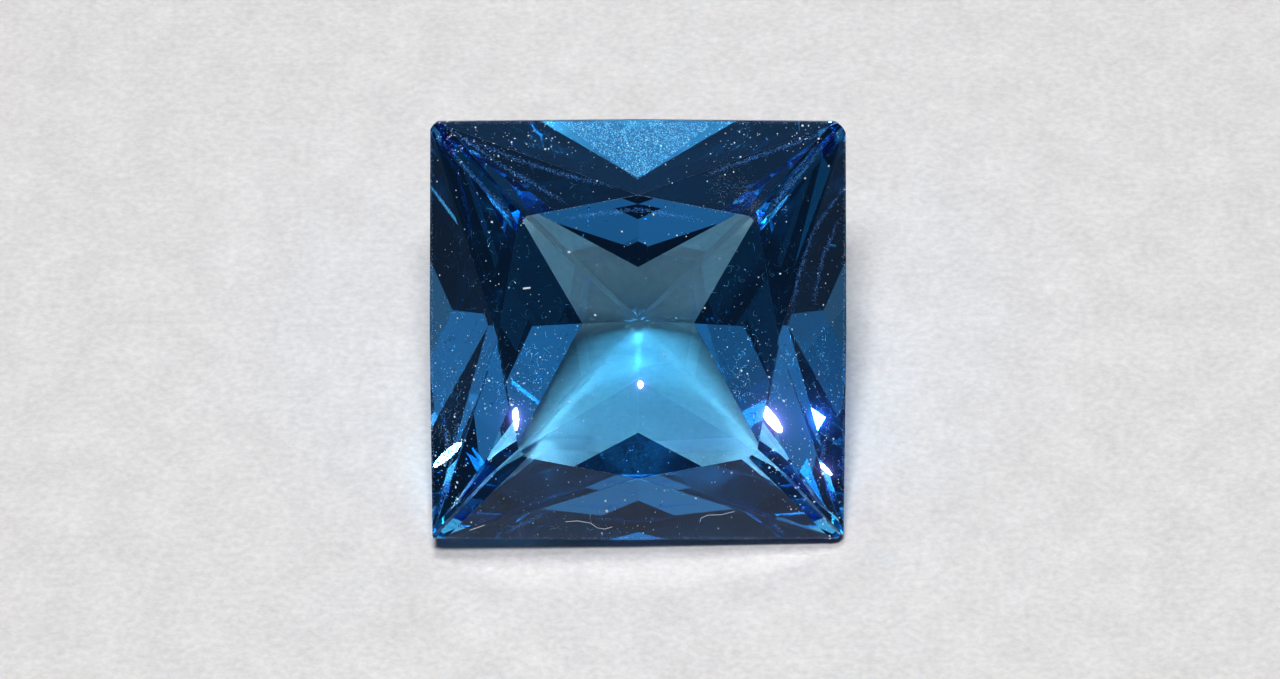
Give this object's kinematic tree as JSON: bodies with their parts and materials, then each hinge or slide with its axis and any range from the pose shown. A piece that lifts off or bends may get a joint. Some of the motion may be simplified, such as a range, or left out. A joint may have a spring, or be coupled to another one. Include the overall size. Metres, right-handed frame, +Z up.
{
  "type": "cut topaz gemstone",
  "caption": "Clear blue square princess-cut stone with a flat table, star and kite crown facets and a chevron pavilion, lying on a pavilion facet.",
  "frame": {"origin": "on the ground, under the middle of the stone's box as it lies", "axes": "+Z up; the stone lies on a front pavilion facet, with its table facing up and towards -Y; +X to the right"},
  "size_m": [0.01, 0.0082, 0.0071],
  "materials": {
    "topaz": "polished clear blue crystal with a finely frosted girdle"
  },
  "bodies": {
    "root": {"topaz": "topaz"}
  },
  "joints": []
}
